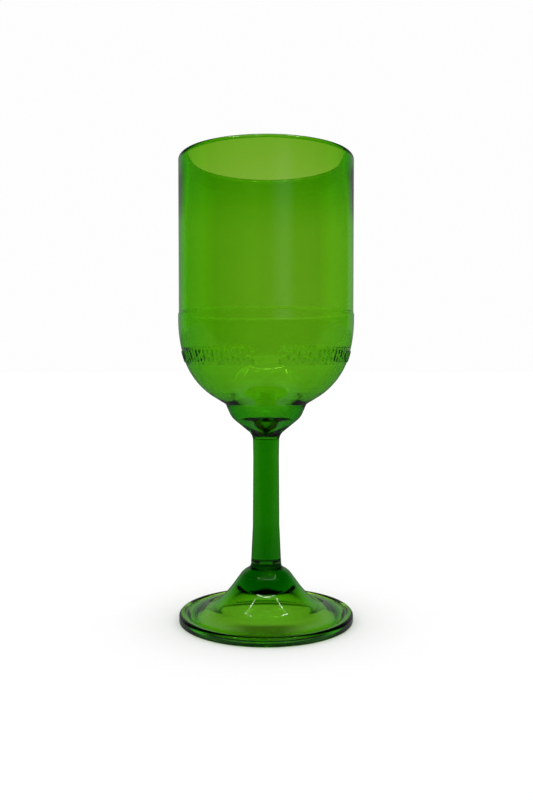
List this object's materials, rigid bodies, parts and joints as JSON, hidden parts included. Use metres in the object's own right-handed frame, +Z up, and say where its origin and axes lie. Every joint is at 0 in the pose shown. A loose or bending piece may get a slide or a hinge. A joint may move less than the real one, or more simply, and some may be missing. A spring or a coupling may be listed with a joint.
{
  "type": "wine glass",
  "caption": "Green stemmed wine glass with a straight-sided bottle-shoulder bowl, solid stem and hollow bell foot.",
  "frame": {"origin": "centre of the flat ring the foot rests on, at floor level", "axes": "+Z up along the stem to the rim; -Y is the side seen in the picture; +X to the viewer's right"},
  "size_m": [0.0756, 0.0756, 0.2],
  "materials": {
    "bowl_glass": "gloss",
    "stem_glass": "gloss",
    "foot_glass": "gloss",
    "bond_film": "clear cured adhesive"
  },
  "bodies": {
    "root": {"bowl": "bowl_glass", "bowl_bond": "bond_film", "stem": "stem_glass", "foot_bond": "bond_film", "foot": "foot_glass"}
  },
  "joints": []
}
